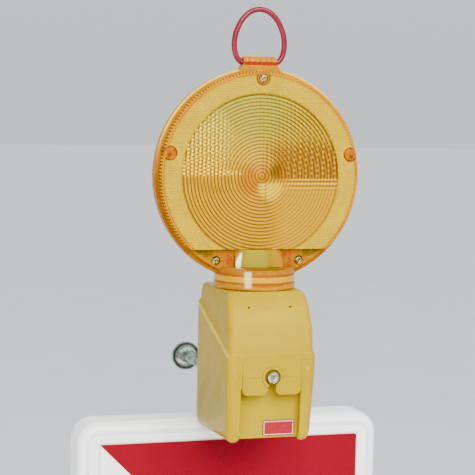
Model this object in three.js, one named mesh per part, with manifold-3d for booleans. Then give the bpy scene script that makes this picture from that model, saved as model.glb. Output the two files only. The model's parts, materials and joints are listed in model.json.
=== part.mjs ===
// A barrier board on a weighted foot, with a two-sided warning lamp bolted on its top edge.
// Millimetres, +Z up. The origin is on the ground under the middle of the foot plate.
// X runs across the board, and -Y is the front, the side that traffic sees.
import * as THREE from "three";
import { mergeVertices } from "three/addons/utils/BufferGeometryUtils.js";
import { ConvexGeometry } from "three/addons/geometries/ConvexGeometry.js";
import Module from "manifold-3d";

const wasm = await Module();
wasm.setup();

// ---------------------------------------------------------------- driving dimensions
const GAP = 0.3; // clear space left between neighbouring pieces

const FOOT = { width: 400, length: 800, height: 110, side: 55, inset: 30, corner: 28 };
const SOCKET = 60.8; // square hole through the foot plate
const POCKET = { width: 140, length: 108, depth: 72, x: 92, y: [117, 241] };
const GRIP = { width: 130, length: 34, y: 329 }; // hand hole near each end

const SPIGOT = { size: 60, wall: 4, bottom: 12, flange: 150, half: 19, plate: 5 };
const BOARD = { width: 291, height: 1040, depth: 44, bottom: 130, corner: 20, edge: 9, wall: 3.5 };
const SHEET = { width: 250, height: 1000, thick: 1.5, recess: 3, slope: 8 };
const BOARD_TOP = BOARD.bottom + BOARD.height;
const SPIGOT_BOLTS = [-58, 58];

// The lamp frame: z = 0 is level with the hood's back edge, and y = 0 is the middle of the lens.
const LAMP = { x: 6, y: -61, z: BOARD_TOP + 1 };
const FIX_Z = 26; // fixing bolt
const LOCK_Z = 55.3; // lock screw
const HOOD = { bottom: -4, ridge: 73.5, top: 127.5, back: 44, wall: 3, round: 6 };
const LATCH = {
  half: 26.8, low: 39.2, high: 73, front: -58.6, depth: 6.5, lean: 1.6, slot: 3.4, corner: 5, thick: 3.5,
};
const RING = { radius: 9.2, front: -59.3, groove: [5.7, 6.9], floor: -58.4 }; // round the lock screw
const OPENING = { half: 27.6, top: 45.2 }; // in the hood's front, under the latch
const PILLAR = { radius: 6.8, top: [33.5, -51.3, 60], low: [31.4, -46.2, 2.8] };
const BATTERY = { size: 67, height: 98, y: -2.5, bottom: 5.6 };
const TRAY = { floor: 1.2, thick: 4, back: 35.6, plate: 3, panel: 30.5, front: -46, boss: -51.2 };
const LABEL = { width: 28.8, height: 13.8, corner: 2, x: 10.2, z: 7.9, thick: 0.8 };
const DRIVER_Z = 115;

const LENS = { z: 228.3, rim: 95.4, body: 91, face: 14, wall: 3.5, rimHalf: 3.7, skin: 2.5 };
const DISC = 72.5; // radius of the ring-lens insert
const REFLEX = 89; // outer radius of the reflex ring
const CHORD = -65.5; // both are cut off level, this far below the lens centre
const FLANK = -8; // depth of the lens face below that line
const POST = { size: 5.2, hole: 2.3, blind: 10.5 };
// Screw posts from the lens centre, with the depth of the face each one meets.
const FRONT_POSTS = [
  [0, 86, -LENS.face],
  [-38.8, -75.8, FLANK],
  [38.8, -75.8, FLANK],
];
const REAR_POSTS = [
  [-83.8, 19.3, -LENS.face],
  [83.8, 19.3, -LENS.face],
];
const COLLAR = { bottom: 127.9, top: 147, bore: 32, boreTop: 144.5 };
const WINDOW = { half: 22, low: 146, high: 162.5, radius: [33, 26.5], flat: [0.62, 0.58], skin: 2.6 };
const STEM = { radius: 23, bore: 20, bottom: 118.2, top: 143.5 };
const SEAL = { radius: 27.2, deep: 1.6 };
const BARREL = { z: 328.5, radius: 5.8, half: 15.5, bore: 3, ribs: 6 };
const WIRE = 2.5; // radius of the coated handle wire

// ---------------------------------------------------------------- materials
const finish = (color, roughness, metalness = 0, opacity = 1) =>
  new THREE.MeshStandardMaterial({ color, roughness, metalness, opacity, transparent: opacity < 1 });
const YELLOW = finish(0xd4b93c, 0.42);
const AMBER = finish(0xe09a28, 0.15, 0, 0.8);
const REFLEX_YELLOW = finish(0xe4c43c, 0.3);
const RED = finish(0xb02f45, 0.35);
const WHITE = finish(0xe6e6e4, 0.4);
const FILM = finish(0xb8142c, 0.3);
const ZINC = finish(0xa9adad, 0.35, 0.9);
const CHROME = finish(0xd8d8d6, 0.15, 1);
const RUBBER = finish(0x202022, 0.8);
const RECYCLED = finish(0x33332f, 0.9);
const BOARD_GREEN = finish(0x1f5a36, 0.5);
const CELL = finish(0x2b4f8c, 0.5);
const LED_GREY = finish(0x3a3a38, 0.4);

// ---------------------------------------------------------------- solids
function solid(geometry) {
  const bare = geometry.index ? geometry.toNonIndexed() : geometry.clone();
  bare.deleteAttribute("normal");
  bare.deleteAttribute("uv");
  const merged = mergeVertices(bare, 1e-3);
  return new wasm.Manifold(
    new wasm.Mesh({
      numProp: 3,
      vertProperties: new Float32Array(merged.attributes.position.array),
      triVerts: new Uint32Array(merged.index.array),
    }),
  );
}

function geometryOf(made) {
  const { vertProperties, triVerts } = made.getMesh();
  const g = new THREE.BufferGeometry();
  g.setAttribute("position", new THREE.BufferAttribute(vertProperties, 3));
  g.setIndex(new THREE.BufferAttribute(triVerts, 1));
  const flat = g.toNonIndexed();
  flat.computeVertexNormals();
  return flat;
}

const join = (first, ...rest) => geometryOf(rest.reduce((a, b) => a.add(solid(b)), solid(first)));
const cut = (first, ...rest) =>
  geometryOf(rest.reduce((a, b) => a.subtract(solid(b)), solid(first)));
const common = (a, b) => geometryOf(solid(a).intersect(solid(b)));

const box = (x0, x1, y0, y1, z0, z1) =>
  new THREE.BoxGeometry(x1 - x0, y1 - y0, z1 - z0).translate(
    (x0 + x1) / 2,
    (y0 + y1) / 2,
    (z0 + z1) / 2,
  );
// A round bar between two heights on the Z axis, or between two depths on the Y axis.
const barZ = (r, z0, z1, sides = 32, r1 = r) =>
  new THREE.CylinderGeometry(r1, r, z1 - z0, sides).rotateX(Math.PI / 2).translate(0, 0, (z0 + z1) / 2);
const barY = (r, y0, y1, sides = 32) =>
  new THREE.CylinderGeometry(r, r, y1 - y0, sides).translate(0, (y0 + y1) / 2, 0);
const barX = (r, x0, x1, sides = 32) =>
  new THREE.CylinderGeometry(r, r, x1 - x0, sides).rotateZ(Math.PI / 2).translate((x0 + x1) / 2, 0, 0);
// A flat outline drawn in XZ, thickened from depth y0 to y1.
const wallY = (shape, y0, y1, options = {}) =>
  new THREE.ExtrudeGeometry(shape, { depth: y1 - y0, bevelEnabled: false, curveSegments: 24, ...options })
    .rotateX(Math.PI / 2)
    .translate(0, y1, 0);
const turnedZ = (points, sides = 64) =>
  new THREE.LatheGeometry(points.map(([r, z]) => new THREE.Vector2(r, z)), sides).rotateX(Math.PI / 2);
const turnedY = (points, sides = 24) =>
  new THREE.LatheGeometry(points.map(([r, y]) => new THREE.Vector2(r, y)), sides);

function roundRect(width, height, r, cx = 0, cy = 0) {
  const x = cx - width / 2;
  const y = cy - height / 2;
  const s = new THREE.Shape();
  s.moveTo(x + r, y);
  s.lineTo(x + width - r, y);
  s.absarc(x + width - r, y + r, r, -Math.PI / 2, 0);
  s.lineTo(x + width, y + height - r);
  s.absarc(x + width - r, y + height - r, r, 0, Math.PI / 2);
  s.lineTo(x + r, y + height);
  s.absarc(x + r, y + height - r, r, Math.PI / 2, Math.PI);
  s.lineTo(x, y + r);
  s.absarc(x + r, y + r, r, Math.PI, Math.PI * 1.5);
  return s;
}

const hexagon = (flats, y0, y1) => barY(flats / Math.sqrt(3), y0, y1, 6);
const hull = (points) => new ConvexGeometry(points.map((p) => new THREE.Vector3(...p)));

function piece(name, geometry, material, parent) {
  const mesh = new THREE.Mesh(geometry, material);
  mesh.name = name;
  parent.add(mesh);
  return mesh;
}

// ---------------------------------------------------------------- foot plate
function footPlate() {
  const outline = (width, length, z) => {
    const pts = [];
    for (const [sx, sy, start] of [[1, 1, 0], [-1, 1, 90], [-1, -1, 180], [1, -1, 270]])
      for (let i = 0; i <= 4; i++) {
        const a = THREE.MathUtils.degToRad(start + i * 22.5);
        pts.push([
          sx * (width / 2 - FOOT.corner) + FOOT.corner * Math.cos(a),
          sy * (length / 2 - FOOT.corner) + FOOT.corner * Math.sin(a),
          z,
        ]);
      }
    return pts;
  };
  const body = hull([
    ...outline(FOOT.width - 8, FOOT.length - 8, 0),
    ...outline(FOOT.width, FOOT.length, 5),
    ...outline(FOOT.width, FOOT.length, FOOT.side),
    ...outline(FOOT.width - 2 * FOOT.inset, FOOT.length - 2 * FOOT.inset, FOOT.height),
  ]);
  const cuts = [box(-SOCKET / 2, SOCKET / 2, -SOCKET / 2, SOCKET / 2, -1, FOOT.height + 1)];
  for (const sx of [-1, 1])
    for (const sy of [-1, 1])
      for (const y of POCKET.y)
        cuts.push(
          box(-POCKET.width / 2, POCKET.width / 2, -POCKET.length / 2, POCKET.length / 2, -1, POCKET.depth)
            .translate(sx * POCKET.x, sy * y, 0),
        );
  for (const sy of [-1, 1])
    cuts.push(
      new THREE.ExtrudeGeometry(roundRect(GRIP.width, GRIP.length, 14, 0, sy * GRIP.y), {
        depth: FOOT.height + 2,
        bevelEnabled: false,
        curveSegments: 5,
      }).translate(0, 0, -1),
    );
  return cut(body, ...cuts);
}

// ---------------------------------------------------------------- board
function spigot() {
  const { size, wall, bottom, flange, half, plate } = SPIGOT;
  const top = BOARD.bottom - GAP;
  const h = size / 2;
  const tube = join(
    box(-h, h, -h, h, bottom, top - 1),
    box(-flange / 2, flange / 2, -half, half, top - plate, top),
  );
  const inner = h - wall;
  const holes = SPIGOT_BOLTS.map((x) => barZ(4.4, top - plate - 1, top + 1, 16).translate(x, 0, 0));
  return cut(tube, box(-inner, inner, -inner, inner, bottom - 1, top - plate - 2), ...holes);
}

const spigotBolt = () =>
  join(
    barZ(6.5 / Math.cos(Math.PI / 6), BOARD.bottom - 11.2, BOARD.bottom - 5.6, 6),
    barZ(4, BOARD.bottom - 6, BOARD.bottom + 12, 16),
  );

// A shallow recess for the sheet, with sides that slope out to a rounded front edge.
function sheetRecess(front, floor) {
  const mid = BOARD.bottom + BOARD.height / 2;
  const outline = (spread, r, y) =>
    roundRect(SHEET.width + spread, SHEET.height + spread, r, 0, mid)
      .getPoints(4)
      .map((p) => [p.x, y, p.y]);
  return hull([
    ...outline(1, 0.5, floor),
    ...outline(2 * SHEET.slope, 12, front),
    ...outline(2 * SHEET.slope, 12, front + Math.sign(front)),
  ]);
}

function boardBody() {
  const { width, height, depth, bottom, corner, edge, wall } = BOARD;
  const mid = bottom + height / 2;
  const d = depth / 2;
  const outer = wallY(
    roundRect(width - 2 * edge, height - 2 * edge, corner - edge, 0, mid),
    -(d - edge),
    d - edge,
    { bevelEnabled: true, bevelThickness: edge, bevelSize: edge, bevelSegments: 4, curveSegments: 6 },
  );
  const floor = d - SHEET.recess;
  const inside = floor - wall;
  const hollow = box(-width / 2 + 10, width / 2 - 10, -inside, inside, bottom + 6, BOARD_TOP - 6);
  const drain = box(-40, 40, -8, 8, bottom - 1, bottom + 7);
  const boltHoles = SPIGOT_BOLTS.map((x) => barZ(4.4, bottom - 1, bottom + 7, 16).translate(x, 0, 0));
  const screwHoles = BRACKET_SCREWS.map(([x, y]) =>
    barZ(2.8, BOARD_TOP - 8, BOARD_TOP + 1, 12).translate(x, y, 0),
  );
  return cut(
    outer, sheetRecess(-d, -floor), sheetRecess(d, floor), hollow, drain, ...boltHoles, ...screwHoles,
  );
}

const sheet = (side) => {
  const inner = BOARD.depth / 2 - SHEET.recess + GAP;
  const z = BOARD.bottom + BOARD.height / 2;
  const plate = wallY(roundRect(SHEET.width, SHEET.height, 2, 0, z), inner, inner + SHEET.thick, {
    curveSegments: 3,
  });
  return side < 0 ? plate.rotateZ(Math.PI) : plate;
};

// ---------------------------------------------------------------- bracket on the board's top
const BRACKET = { half: 22, front: HOOD.back + LAMP.y + 0.4, thick: 6, foot: 4, reach: 26, height: 52 };
const BRACKET_SCREWS = [-1, 1].map((s) => [LAMP.x + s * 14, BRACKET.front + BRACKET.thick + 13]);

function bracket() {
  const { half, front, thick, foot, reach, height } = BRACKET;
  const z = BOARD_TOP + GAP;
  const upright = wallY(
    roundRect(2 * half, height, 8, LAMP.x, z + height / 2), front, front + thick, { curveSegments: 5 },
  );
  const base = box(LAMP.x - half, LAMP.x + half, front, front + thick + reach, z, z + foot);
  const corner = box(LAMP.x - half, LAMP.x + half, front, front + thick, z, z + 12);
  const bolt = barY(4.4, front - 1, front + thick + 1, 20).translate(LAMP.x, 0, LAMP.z + FIX_Z);
  const screws = BRACKET_SCREWS.map(([x, y]) => barZ(2.8, z - 1, z + foot + 1, 12).translate(x, y, 0));
  return cut(join(upright, base, corner), bolt, ...screws);
}

const bracketScrew = ([x, y]) => {
  const seat = BOARD_TOP + BRACKET.foot + 2 * GAP;
  return turnedZ(
    [
      [0, seat - 16], [2.5, seat - 14], [2.5, seat],
      [4.6, seat], [4.4, seat + 1.6], [2.4, seat + 3], [0, seat + 3],
    ],
    16,
  ).translate(x, y, 0);
};

// ---------------------------------------------------------------- fixing bolt and its nuts
const NUT_AT = HOOD.back + BRACKET.thick + 3.2; // behind the bracket and its washer
const KEEPER_AT = 220; // the spare nut run out along the bolt

const fixingBolt = () => {
  const head = TRAY.back - GAP;
  const end = KEEPER_AT + 18;
  return turnedY(
    [
      [0, head - 2.6], [6, head - 2.6], [8.6, head - 1.4], [8.6, head],
      [4, head], [4, end - 1], [3.2, end], [0, end],
    ],
    24,
  ).translate(0, 0, FIX_Z);
};
const washer = (r, hole, y0, y1) =>
  cut(barY(r, y0, y1, 40), barY(hole, y0 - 1, y1 + 1, 20)).translate(0, 0, FIX_Z);
const clampNut = () => cut(hexagon(13, NUT_AT, NUT_AT + 6.5), barY(4.3, 0, 99, 20)).translate(0, 0, FIX_Z);
const keeperNut = () =>
  cut(
    join(hexagon(13, KEEPER_AT, KEEPER_AT + 7), turnedY(
      [
        [0, KEEPER_AT + 5], [7.4, KEEPER_AT + 5], [8.9, KEEPER_AT + 7],
        [8.9, KEEPER_AT + 8], [0, KEEPER_AT + 8],
      ],
      32,
    )),
    barY(4.3, KEEPER_AT - 1, KEEPER_AT + 9, 20),
  ).translate(0, 0, FIX_Z);
const domeNut = () => {
  const y = KEEPER_AT + 11;
  const dome = turnedY([[0, y + 5], [6.2, y + 5], [5.6, y + 8], [3.6, y + 10.4], [0, y + 11.2]], 24);
  return cut(join(hexagon(13, y, y + 6), dome), barY(4.3, y - 1, y + 8, 20)).translate(0, 0, FIX_Z);
};

// ---------------------------------------------------------------- hood
// Four rounded corners of the hood. Half widths, depths and heights differ from front to back.
function hoodLevel([zFront, zBack], [front, back], [yFront, yBack], inset = 0) {
  const r = HOOD.round;
  const corners = [
    [back - inset, yBack - inset, zBack, 1, 1, 0],
    [back - inset, yBack - inset, zBack, -1, 1, 90],
    [front - inset, yFront + inset, zFront, -1, -1, 180],
    [front - inset, yFront + inset, zFront, 1, -1, 270],
  ];
  const points = [];
  for (const [halfWidth, y, z, sx, sy, start] of corners)
    for (let i = 0; i <= 4; i++) {
      const a = THREE.MathUtils.degToRad(start + i * 22.5);
      points.push([sx * (halfWidth - r) + r * Math.cos(a), y - sy * r + r * Math.sin(a), z]);
    }
  return points;
}
const level = (z) => [z, z];

// The latch tongue: two lobes either side of a slot that runs up to the lock screw.
function latchOutline() {
  const { half, low, high, slot, corner } = LATCH;
  const s = new THREE.Shape();
  const quarter = Math.PI / 2;
  s.moveTo(-half + corner, low);
  s.lineTo(-slot - corner, low);
  s.absarc(-slot - corner, low + corner, corner, -quarter, 0);
  s.lineTo(-slot, LOCK_Z);
  s.absarc(0, LOCK_Z, slot, Math.PI, 0, true);
  s.lineTo(slot, low + corner);
  s.absarc(slot + corner, low + corner, corner, Math.PI, 3 * quarter);
  s.lineTo(half - corner, low);
  s.absarc(half - corner, low + corner, corner, -quarter, 0);
  s.lineTo(half, high);
  s.lineTo(-half, high);
  s.lineTo(-half, low + corner);
  s.absarc(-half + corner, low + corner, corner, Math.PI, 3 * quarter);
  return s;
}

function latchTongue() {
  const { front, depth, low, lean } = LATCH;
  const bevel = 1.5;
  return wallY(latchOutline(), front + bevel, front + depth - bevel, {
    bevelEnabled: true,
    bevelThickness: bevel,
    bevelSize: bevel,
    bevelOffset: -bevel,
    bevelSegments: 2,
    curveSegments: 5,
  })
    .translate(0, -front, -low)
    .rotateX(-THREE.MathUtils.degToRad(lean))
    .translate(0, front, low);
}

// A round-ended pillar beside the opening.
function pillar(side) {
  const points = [];
  for (const [x, y, z] of [PILLAR.top, PILLAR.low]) {
    const ball = new THREE.SphereGeometry(PILLAR.radius, 16, 10).translate(side * x, y, z);
    const at = ball.getAttribute("position");
    for (let i = 0; i < at.count; i++) points.push([at.getX(i), at.getY(i), at.getZ(i)]);
  }
  return hull(points);
}

function hoodShell() {
  const { bottom, ridge, top, back, wall } = HOOD;
  const lower = hull([
    ...hoodLevel([-0.8, bottom], [36.8, 38], [-49.5, 35]),
    ...hoodLevel(level(1), [38.2, 40.2], [-52, back - 0.6]),
    ...hoodLevel(level(5), [38.8, 40.8], [-53, back]),
    ...hoodLevel(level(58), [40.9, 40.9], [-56.4, back]),
    ...hoodLevel([ridge, 110], [40.9, 40.9], [-57.4, back]),
    ...hoodLevel([ridge + 3, 113.5], [39.4, 39], [-56.6, back - 1.2]),
  ]);
  const upper = hull([
    ...hoodLevel(level(70), [39.4, 39.4], [-57.4, back - 1]),
    ...hoodLevel(level(98), [38.6, 39.2], [-53.6, back - 1]),
    ...hoodLevel(level(112), [37.8, 38.9], [-47.8, back - 1]),
    ...hoodLevel(level(120), [37, 38.4], [-43, back - 1.2]),
    ...hoodLevel(level(top - 2), [36, 37.6], [-38.2, back - 2.2]),
    ...hoodLevel(level(top), [34.2, 36], [-36, back - 4]),
  ]);
  const inner = hull([
    ...hoodLevel(level(bottom - 1), [36.8, 39], [-49.5, back], wall),
    ...hoodLevel(level(5), [38.8, 40.6], [-53, back], wall),
    ...hoodLevel(level(58), [40.4, 40.6], [-56, back], wall),
    ...hoodLevel([ridge, 106], [39.4, 40.4], [-56.6, back], wall),
    ...hoodLevel(level(98), [38.6, 39.2], [-52.8, back - 1], wall),
    ...hoodLevel(level(112), [37.6, 38.8], [-47.4, back - 1], wall),
    ...hoodLevel(level(top - wall), [36, 37.4], [-40.5, back - 2.2], wall),
  ]);
  const mouthOpening = box(-OPENING.half, OPENING.half, -70, -40, bottom - 1, OPENING.top);
  const shell = cut(join(lower, upper, pillar(-1), pillar(1)), mouthOpening);

  const { half, low, high, front, thick, slot } = LATCH;
  const ring = barY(RING.radius, RING.front, front + 6, 36).translate(0, 0, LOCK_Z);
  const tongue = cut(
    join(latchTongue(), ring),
    box(-half + wall, half - wall, front + thick, 0, low - 1, high - wall),
  );
  const grooves = [-17, 15].map((x) => box(x - 4.7, x + 4.7, -62, front + 0.9, LOCK_Z - 0.4, LOCK_Z + 0.4));
  const ringGroove = cut(
    barY(RING.groove[1], -70, RING.floor, 32),
    barY(RING.groove[0], -71, RING.floor + 1, 32),
  ).translate(0, 0, LOCK_Z);
  const pinholes = [-19, 19].map((x) => barY(1, -60, -36, 12).translate(x, 0, 115));
  const lockSlot = [
    box(-slot, slot, -70, -50, low - 1, LOCK_Z),
    barY(slot, -70, -50, 20).translate(0, 0, LOCK_Z),
  ];
  const boltSlot = [
    box(-4.6, 4.6, 30, 50, bottom - 1, FIX_Z),
    barY(4.6, 30, 50, 20).translate(0, 0, FIX_Z),
  ];
  const mouth = barZ(STEM.radius + 0.5, top - 5, top + 1, 40);
  const sealSeat = barZ(SEAL.radius + GAP, top - SEAL.deep, top + 1, 40);
  return cut(
    join(cut(shell, inner), tongue),
    cut(inner, box(-60, 60, -80, -47, low - 5, high + 4)),
    ...lockSlot, ...grooves, ringGroove, ...pinholes, ...boltSlot, mouth, sealSeat,
  );
}

// ---------------------------------------------------------------- battery tray and what it holds
function batteryTray() {
  const { floor, thick, back, plate, panel, front, boss: seat } = TRAY;
  const base = new THREE.ExtrudeGeometry(roundRect(65, 81, 5, 0, -4), {
    depth: thick,
    bevelEnabled: false,
    curveSegments: 3,
  }).translate(0, 0, floor);
  const rear = wallY(roundRect(60, 90, 6, 0, floor + 48.4), back, back + plate, { curveSegments: 4 });
  const face = wallY(roundRect(2 * panel, 67, 3, 0, 32.7), front, front + plate, { curveSegments: 3 });
  const tie = box(-panel + 2, panel - 2, front + 1, -40, floor, floor + thick);
  const boss = barY(7, seat, -40, 24).translate(0, 0, LOCK_Z);
  const ribs = [-16, 16].map((x) => box(x - 1.2, x + 1.2, front + 1, -40, floor + 3, 52));
  const lockHole = barY(3.3, -60, -39, 20).translate(0, 0, LOCK_Z);
  const boltHole = barY(4.3, back - 1, back + plate + 1, 20).translate(0, 0, FIX_Z);
  return cut(join(base, rear, face, tie, boss, ...ribs), lockHole, boltHole);
}

function blockBattery() {
  const { size, height, y, bottom } = BATTERY;
  return new THREE.ExtrudeGeometry(roundRect(size, size, 7, 0, y), {
    depth: height - 3,
    bevelEnabled: true,
    bevelThickness: 1.5,
    bevelSize: 1.5,
    bevelOffset: -1.5,
    bevelSegments: 2,
    curveSegments: 5,
  }).translate(0, 0, bottom + 1.5);
}

const contactSpring = (x, y) => {
  const z = BATTERY.bottom + BATTERY.height + GAP;
  return turnedZ([[0, z], [9, z], [8, z + 3], [5, z + 10], [0, z + 10]], 20).translate(x, y, 0);
};

const lockScrew = () => {
  const seat = RING.front - GAP;
  const screw = turnedY(
    [[0, seat - 3.2], [3.8, seat - 3.2], [5.2, seat - 1.9], [5.2, seat], [3, seat], [3, -40.5], [0, -40.5]],
    28,
  );
  return cut(screw, hexagon(5, seat - 6, seat - 1.6)).translate(0, 0, LOCK_Z);
};

const labelPlate = () =>
  wallY(
    roundRect(LABEL.width, LABEL.height, LABEL.corner, LABEL.x, LABEL.z),
    TRAY.front - GAP - LABEL.thick, TRAY.front - GAP, { curveSegments: 4 },
  );

// ---------------------------------------------------------------- lens head
const below = (z) => box(-120, 120, -60, 60, 100, LENS.z + z); // under a level, from the lens centre
const above = (z) => box(-120, 120, -60, 60, LENS.z + z, 400);
const discY = (r, y0, y1, sides = 60) => barY(r, y0, y1, sides).translate(0, 0, LENS.z);

function barrel() {
  const { radius, half, ribs, z } = BARREL;
  const pitch = (2 * half) / ribs;
  const line = [[0, -half]];
  for (let i = 0; i < ribs; i++)
    line.push(
      [radius - 1.1, -half + i * pitch + 0.02],
      [radius, -half + (i + 0.3) * pitch],
      [radius, -half + (i + 0.7) * pitch],
    );
  line.push([radius - 1.1, half], [0, half]);
  return turnedY(line, 14).rotateZ(-Math.PI / 2).translate(0, 0, z);
}

// The front half of the lens housing. The rear half is the same piece turned round.
function lensHalf(front) {
  const { face, wall, body, rim, rimHalf, skin, z } = LENS;
  const { bottom, top, bore, boreTop } = COLLAR;
  const drum = cut(discY(body, -face, -GAP / 2), common(below(CHORD), box(-120, 120, -60, FLANK, 0, 400)));
  const flange = discY(rim, -rimHalf, -GAP / 2);
  const foot = turnedZ([
    [0, bottom], [36, bottom], [36.8, bottom + 1], [36.8, 133], [36.2, 133.6],
    [36.2, 141], [35.8, 141.6], [35.8, 146], [34.8, top], [0, top],
  ], 44);
  const window = common(
    barZ(WINDOW.radius[0], WINDOW.low, WINDOW.high, 44, WINDOW.radius[1]).scale(1, WINDOW.flat[0], 1),
    box(-WINDOW.half, WINDOW.half, -40, FLANK + 1, WINDOW.low, WINDOW.high),
  );
  const neck = hull([
    [-20, -5, z + 90], [20, -5, z + 90], [-20, 5, z + 90], [20, 5, z + 90],
    [-15, -5, BARREL.z], [15, -5, BARREL.z], [-15, 5, BARREL.z], [15, 5, BARREL.z],
  ]);
  const solidHalf = common(
    join(drum, flange, foot, window, neck, barrel()),
    box(-120, 120, -60, -GAP / 2, 100, 400),
  );
  const drumInside = join(
    common(discY(body - skin, -face + wall, 5), above(CHORD)),
    discY(body - skin, FLANK + skin, 5),
  );
  const shield = box(-14, 14, -6, 6, z + body - skin - 1, BARREL.z - BARREL.bore - 1.5);
  const windowInside = common(
    barZ(
      WINDOW.radius[0] - WINDOW.skin, WINDOW.low + 2.5, WINDOW.high - 2, 44, WINDOW.radius[1] - WINDOW.skin,
    ).scale(1, WINDOW.flat[1], 1),
    box(-WINDOW.half + WINDOW.skin, WINDOW.half - WINDOW.skin, -40, 0, WINDOW.low, WINDOW.high),
  );
  const inside = join(
    cut(drumInside, shield),
    barZ(bore, bottom + 3, boreTop, 44),
    barZ(STEM.radius + GAP, bottom - 1, bottom + 4, 32),
    windowInside,
    barX(BARREL.bore, -30, 30, 14).translate(0, 0, BARREL.z),
  );
  const recess = cut(discY(REFLEX + GAP, -face - 1, -face + 1.5), below(CHORD - GAP));
  const eye = cut(discY(DISC - 3, -face - 1, -face + wall + 1), below(CHORD + 3));
  const shell = cut(solidHalf, inside, recess, eye);
  const posts = [...FRONT_POSTS, ...REAR_POSTS].map(([x, dz, y]) =>
    barY(POST.size, y, -GAP / 2, 16).translate(x, 0, z + dz),
  );
  const through = front ? FRONT_POSTS : REAR_POSTS;
  const holes = [...FRONT_POSTS, ...REAR_POSTS].map((post) => {
    const [x, dz, y] = post;
    const start = through.includes(post) ? y - 2 : Math.max(y + 2, -POST.blind);
    return barY(POST.hole, start, 2, 12).translate(x, 0, z + dz);
  });
  const half = cut(join(shell, ...posts), ...holes);
  return front ? half : half.rotateZ(Math.PI);
}

function reflexRing(front) {
  const y = -LENS.face + 1.2;
  const ring = cut(
    discY(REFLEX, -LENS.face, y),
    discY(DISC + GAP, -LENS.face - 1, y + 1),
    below(CHORD),
    ...[FRONT_POSTS[0], ...REAR_POSTS].map(([x, dz]) =>
      barY(6.8, -LENS.face - 1, y + 1, 14).translate(x, 0, LENS.z + dz),
    ),
  );
  return front ? ring : ring.rotateZ(Math.PI);
}

function ringLens(front) {
  const y = -LENS.face + 1.2;
  const dome = turnedY(
    [[0, y - 3.2], [24, y - 3], [48, y - 2.5], [DISC, y - 1.6], [DISC, y], [0, y]], 64,
  ).translate(0, 0, LENS.z);
  const disc = cut(dome, below(CHORD));
  return front ? disc : disc.rotateZ(Math.PI);
}

function lensScrew(front, [x, dz, face]) {
  const y = face - GAP;
  const screw = turnedY(
    [[0, y - 2.6], [2.4, y - 2.4], [4, y - 0.9], [4, y], [2, y], [2, 4.6], [0, 5.6]],
    18,
  );
  const placed = cut(screw, hexagon(2.4, y - 4, y - 1)).translate(x, 0, LENS.z + dz);
  return front ? placed : placed.rotateZ(Math.PI);
}

function stem() {
  const { radius, bore, bottom, top } = STEM;
  return turnedZ([
    [bore, bottom], [25.4, bottom], [25.4, bottom + 2.4], [radius, bottom + 2.4],
    [radius, top], [bore, top], [bore, bottom],
  ], 36);
}
const neckSeal = () => {
  const outer = barZ(SEAL.radius, HOOD.top - SEAL.deep + GAP, HOOD.top + 0.1, 36);
  return cut(outer, barZ(STEM.radius + GAP, HOOD.top - 3, HOOD.top + 1, 36));
};

function ledPost() {
  const strip = box(-4, 4, -1.4, 1.4, STEM.bottom + 4, LENS.z + 14);
  const plate = barZ(STEM.bore - GAP, STEM.bottom + 4, STEM.bottom + 7, 32);
  return join(strip, plate);
}
const led = (front) => {
  const y = -1.4 - GAP;
  const body = turnedY([[0, y - 7], [3.4, y - 6.2], [4.6, y - 3.6], [7.4, y - 3.2], [7.4, y], [0, y]], 24)
    .translate(0, 0, LENS.z);
  return front ? body : body.rotateZ(Math.PI);
};
const driverBoard = () =>
  cut(
    box(-27, 27, -27, 27, DRIVER_Z, DRIVER_Z + 1.6),
    barZ(3, DRIVER_Z - 1, DRIVER_Z + 3, 16).translate(20, 20, 0),
  );

// A wire loop whose ends meet inside the barrel.
function handle() {
  const low = BARREL.z;
  const side = [
    [0.6, low], [8, low], [15.6, low], [18.7, low + 1.7], [21.6, low + 6], [23.1, low + 12],
    [23.3, low + 17.5], [22.4, low + 24], [20.3, low + 30], [17.2, low + 36], [13, low + 41], [7.4, low + 45],
  ];
  const points = [
    ...side.map(([x, z]) => new THREE.Vector3(-x, 0, z)),
    new THREE.Vector3(0, 0, low + 46.7),
    ...side.reverse().map(([x, z]) => new THREE.Vector3(x, 0, z)),
  ];
  const section = new THREE.Shape().absarc(0, 0, WIRE, 0, Math.PI * 2);
  return new THREE.ExtrudeGeometry(section, {
    extrudePath: new THREE.CatmullRomCurve3(points, false, "centripetal"),
    steps: 56,
    curveSegments: 4,
    bevelEnabled: false,
  });
}

// ---------------------------------------------------------------- assembly
const barrier = new THREE.Group();
piece("foot_plate", footPlate(), RECYCLED, barrier);
piece("spigot", spigot(), ZINC, barrier);
piece("board_body", boardBody(), WHITE, barrier);
piece("sheet_front", sheet(-1), FILM, barrier);
piece("sheet_rear", sheet(1), FILM, barrier);
["left", "right"].forEach((side, i) =>
  piece("spigot_bolt_" + side, spigotBolt(), ZINC, barrier).position.set(SPIGOT_BOLTS[i], 0, 0),
);
piece("lamp_bracket", bracket(), ZINC, barrier);
piece("bracket_screw_left", bracketScrew(BRACKET_SCREWS[0]), ZINC, barrier);
piece("bracket_screw_right", bracketScrew(BRACKET_SCREWS[1]), ZINC, barrier);

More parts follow.
